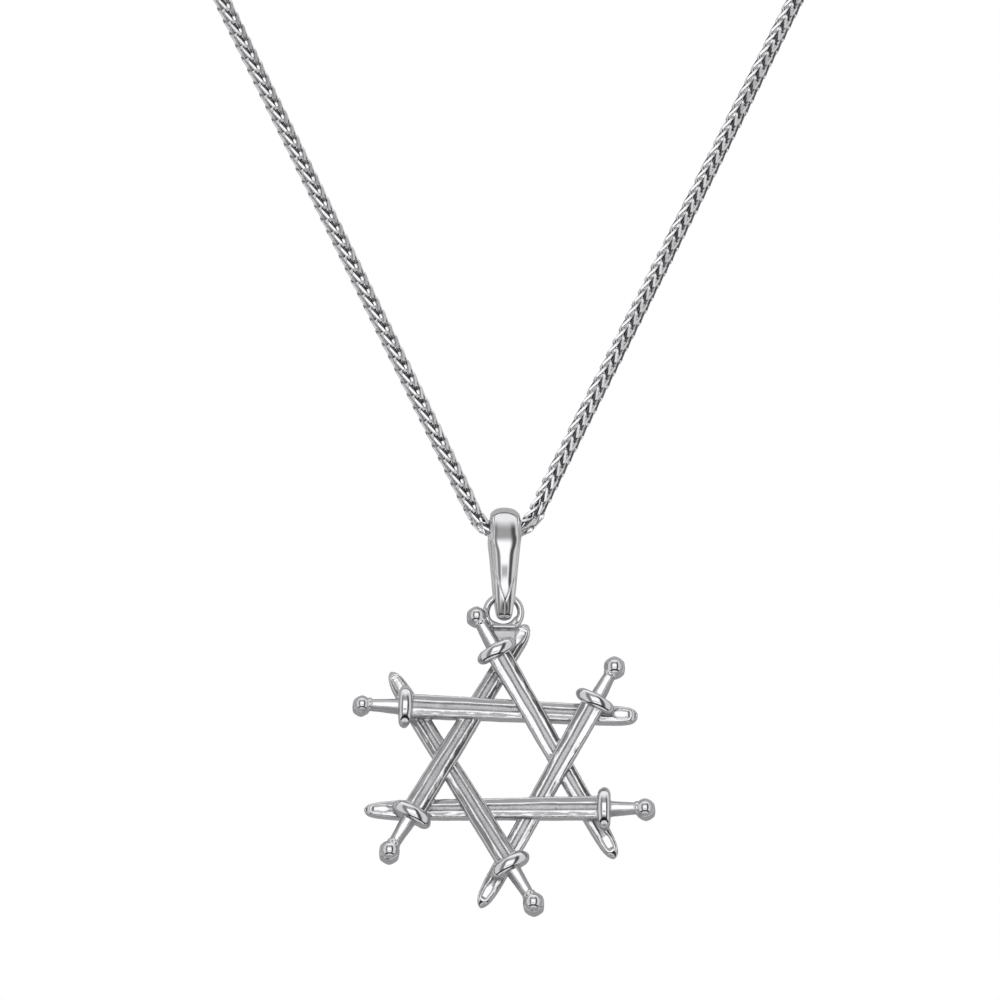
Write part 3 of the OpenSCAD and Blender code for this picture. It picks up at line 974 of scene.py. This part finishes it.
# Half of the route, from the bottom of the bend to the nape, as in the solid parts
ROUTE_MM = [
    (0, -83, -127.6), (0.8, -83, -127.5), (1.55, -83, -127.15), (2.15, -83, -126.65),
    (2.6, -83, -125.95), (3.3, -83, -124.5), (4.5, -83, -122), (7, -83, -116.85),
    (12, -83, -106.55), (20, -83, -90.05), (30, -83, -69.4), (40.5, -83, -47.7),
    (47, -78, -34.5), (52, -67, -23.5), (53.5, -50, -14), (48.5, -31, -7.5),
    (37.5, -14.5, -3), (23, -4.5, -0.7), (12.5, -0.9, -0.1), (7, -0.1, 0),
]
CHAIN_START_MM = (3.5, 0, 0)
ROUTE_STEPS = 24
# Distance between two links, which are a quarter turn apart
LINK_STEP_MM = 0.615
WIRE_WIDE_MM = 0.29
WIRE_THICK_MM = 0.18
WIRE_SIDES = 5
# How far the flat of the wire leans towards the link's first strand
WIRE_LEAN = 0.15
# How far the chain is turned about its own line from showing one of its four faces squarely, and
# how far a link may lie askew
CHAIN_TURN = math.radians(-14)
LINK_ASKEW = math.radians(2)
ASKEW_SEED = 7
# Half of a link's centre line, in millimetres: out from the chain's axis, to the side, and ahead
# along the chain. It runs from the waist up one strand, round the ear and back down the other
# strand, which starts half a link lower.
LINK_HALF_MM = [
    (0.14, 0.26, -0.22), (0.4, 0.49, 0.04), (0.5, 0.48, 0.3), (0.51, 0.2, 1.2), (0.4, 0.07, 1.42),
    (0.28, -0.04, 1.5), (0.24, -0.14, 1.2), (0.32, -0.14, 0.85), (0.51, -0.15, 0.55),
    (0.5, -0.47, -0.32), (0.4, -0.49, -0.58), (0.14, -0.28, -0.8),
]
# The links' inner parts, which only show as dark metal between the strands: oxide, darkened further
# as painted shade where the strands shut out the light. Lumps as large as this share of their
# radius roughen them.
CORE_R_MM = 0.3
CORE_STEP_MM = 0.25
CORE_SIDES = 5
LUMP_MM = 0.25
LUMP_SHARE = 0.3
# The links are pressed together where the chain bends through the bail, up to the first of these
# heights, and lie free above the second
TIGHT_SHARE = 0.92
TIGHT_TO_MM = -125.9
LOOSE_FROM_MM = -124.6


def link():
    """A flattened wire ring folded to a U. Its waist passes through the ears of the link two places
    behind."""
    line = [Vector(point) for point in LINK_HALF_MM]
    line += [Vector((-x, -y, z)) for x, y, z in LINK_HALF_MM]
    rings = []
    for i, point in enumerate(line):
        ahead = (line[(i + 1) % len(line)] - line[i - 1]).normalized()
        # The flat of the wire faces out of the chain's nearest face
        out = Vector((point.x, WIRE_LEAN * point.x, 0))
        out = (out - ahead * out.dot(ahead)).normalized()
        side = ahead.cross(out)
        rings.append([
            point + out * math.cos(a) * WIRE_THICK_MM / 2 + side * math.sin(a) * WIRE_WIDE_MM / 2
            for a in (2 * math.pi * (k + 0.5) / WIRE_SIDES for k in range(WIRE_SIDES))
        ])
    shell = bmesh.new()
    loft(shell, rings, Matrix.Scale(MM, 4), closed=True)
    return mesh_object("link", shell)


def curve(a, b, c, d, t):
    """A smooth curve through four points of the route, at a share of the way from b to c."""
    square = 2 * a - 5 * b + 4 * c - d
    cube = 3 * b - a - 3 * c + d
    return (2 * b + (c - a) * t + square * t * t + cube * t ** 3) / 2


def route_line():
    """The chain's whole route, from one side of the clasp to the other."""
    half = [Vector(point) * MM for point in ROUTE_MM + [CHAIN_START_MM]]
    whole = [Vector((-p.x, p.y, p.z)) for p in reversed(half[1:])] + half
    ends = [2 * whole[0] - whole[1]] + whole + [2 * whole[-1] - whole[-2]]
    line = []
    for i in range(len(whole) - 1):
        line += [curve(*ends[i:i + 4], k / ROUTE_STEPS) for k in range(ROUTE_STEPS)]
    return line + [whole[-1]]


# What the chain's modifier asks for beside its route
CHAIN_INPUTS = {
    "Link": "Object", "Step": "Float", "Turn": "Float", "Looseness": "Float",
    "Core radius": "Float", "Core step": "Float", "Tightness": "Float", "Tight to": "Float",
    "Loose from": "Float",
}


def wheat_chain_tree(wire, core):
    """Sets a link at each step along the route, each a quarter turn on from the last, over a rough
    core whose dark metal is oxide and painted shade between the strands."""
    tree = bpy.data.node_groups.new("wheat chain", "GeometryNodeTree")
    face = tree.interface
    face.new_socket("Route", in_out="INPUT", socket_type="NodeSocketGeometry")
    for name, kind in CHAIN_INPUTS.items():
        face.new_socket(name, in_out="INPUT", socket_type="NodeSocket" + kind)
    face.new_socket("Chain", in_out="OUTPUT", socket_type="NodeSocketGeometry")
    given = tree.nodes.new("NodeGroupInput").outputs
    route = add(tree, "GeometryNodeMeshToCurve", {"Mesh": given["Route"]})

    # Where each link goes, and how it is turned
    path = add(tree, "GeometryNodeResampleCurve", {
        "Curve": route, "Length": given["Step"]}, mode="LENGTH")
    path = add(tree, "GeometryNodeSetCurveNormal", {"Curve": path}, mode="Z_UP")
    facing = add(tree, "FunctionNodeAxesToRotation", {
        "Primary Axis": add(tree, "GeometryNodeInputTangent"),
        "Secondary Axis": add(tree, "GeometryNodeInputNormal")},
        primary_axis="Z", secondary_axis="X")
    number = add(tree, "GeometryNodeInputIndex")
    quarter = add(tree, "ShaderNodeMath", {0: number, 1: math.pi / 2}, operation="MULTIPLY")
    turn = add(tree, "ShaderNodeMath", {0: quarter, 1: given["Turn"]}, operation="ADD")
    play = add(tree, "FunctionNodeRandomValue", {
        2: -1.0, 3: 1.0, "Seed": ASKEW_SEED}, data_type="FLOAT")
    play = add(tree, "ShaderNodeMath", {
        0: play.outputs[1], 1: given["Looseness"]}, operation="MULTIPLY")
    turn = add(tree, "ShaderNodeMath", {0: turn, 1: play}, operation="ADD")
    spin = add(tree, "FunctionNodeAxisAngleToRotation", {"Axis": (0, 0, 1), "Angle": turn})
    facing = add(tree, "FunctionNodeRotateRotation", {
        0: facing, 1: spin}, rotation_space="LOCAL")

    # The links, drawn closer together across the chain inside the bail
    one = add(tree, "GeometryNodeObjectInfo", {"Object": given["Link"]})
    position = add(tree, "GeometryNodeInputPosition")
    height = add(tree, "ShaderNodeSeparateXYZ", {0: position}).outputs["Z"]
    across = add(tree, "ShaderNodeMapRange", {
        "Value": height, "From Min": given["Tight to"], "From Max": given["Loose from"],
        "To Min": given["Tightness"], "To Max": 1.0})
    size = add(tree, "ShaderNodeCombineXYZ", {0: across, 1: across, 2: 1.0})
    links = add(tree, "GeometryNodeInstanceOnPoints", {
        "Points": path, "Instance": one.outputs["Geometry"], "Rotation": facing, "Scale": size})
    links = add(tree, "GeometryNodeRealizeInstances", {0: links})
    links = add(tree, "GeometryNodeSetMaterial", {"Geometry": links, "Material": wire})

    # The dark core, oxide and painted shade between the strands, roughened by lumps
    inner = add(tree, "GeometryNodeResampleCurve", {
        "Curve": route, "Length": given["Core step"]}, mode="LENGTH")
    profile = add(tree, "GeometryNodeCurvePrimitiveCircle", {
        "Resolution": CORE_SIDES, "Radius": given["Core radius"]})
    inner = add(tree, "GeometryNodeCurveToMesh", {
        "Curve": inner, "Profile Curve": profile, "Fill Caps": True})
    lumps = add(tree, "ShaderNodeTexNoise", {"Scale": pattern_scale(LUMP_MM), "Detail": 0.0})
    lumps = add(tree, "ShaderNodeMapRange", {
        "Value": lumps, "To Min": -LUMP_SHARE, "To Max": LUMP_SHARE})
    lumps = add(tree, "ShaderNodeMath", {0: lumps, 1: given["Core radius"]}, operation="MULTIPLY")
    lumps = add(tree, "ShaderNodeVectorMath", {
        0: add(tree, "GeometryNodeInputNormal"), "Scale": lumps}, operation="SCALE")
    inner = add(tree, "GeometryNodeSetPosition", {"Geometry": inner, "Offset": lumps})
    inner = add(tree, "GeometryNodeSetMaterial", {"Geometry": inner, "Material": core})

    both = add(tree, "GeometryNodeJoinGeometry", {0: links})
    tree.links.new(inner.outputs[0], both.inputs[0])
    add(tree, "NodeGroupOutput", {0: both})
    return tree


def chain():
    line = route_line()
    mesh = bpy.data.meshes.new("chain_links")
    mesh.from_pydata(line, [(i, i + 1) for i in range(len(line) - 1)], [])
    piece = scene_object("chain_links", mesh)
    # Drawn wire shines in small bright facets. Its drawing lines, too fine to show, are drawn as a
    # grain about 0.15 mm across.
    wire = polished_silver("rhodium-plated drawn silver wire", (0.05, 0.11), 2 / 13, (1, 1, 1))
    one = link()
    # The core's metal is oxide, darkened further as painted shade between the strands
    tree = wheat_chain_tree(wire, oxide_and_painted_shade())
    modifier = piece.modifiers.new("links", "NODES")
    modifier.node_group = tree
    sockets = {item.name: item.identifier for item in tree.interface.items_tree}
    values = {
        "Link": one, "Step": LINK_STEP_MM * MM, "Turn": CHAIN_TURN, "Looseness": LINK_ASKEW,
        "Core radius": CORE_R_MM * MM, "Core step": CORE_STEP_MM * MM, "Tightness": TIGHT_SHARE,
        "Tight to": TIGHT_TO_MM * MM, "Loose from": LOOSE_FROM_MM * MM,
    }
    for name, value in values.items():
        modifier[sockets[name]] = value
    bake(piece)
    bpy.data.objects.remove(one)
    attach(piece, "necklace")
    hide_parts("chain")


def clasp():
    # Turning lines run round the barrel, a sixth of a millimetre apart, and spread its highlight
    silver = polished_silver("rhodium-plated turned silver", (0.08, 0.16), 1 / 6, (1, 0.1, 0.1))
    node = frame["nodes"]["clasp"]
    node.data.materials.clear()
    node.data.materials.append(silver)


camera()
floor()
light_tent()
star()
bail()
chain()
clasp()
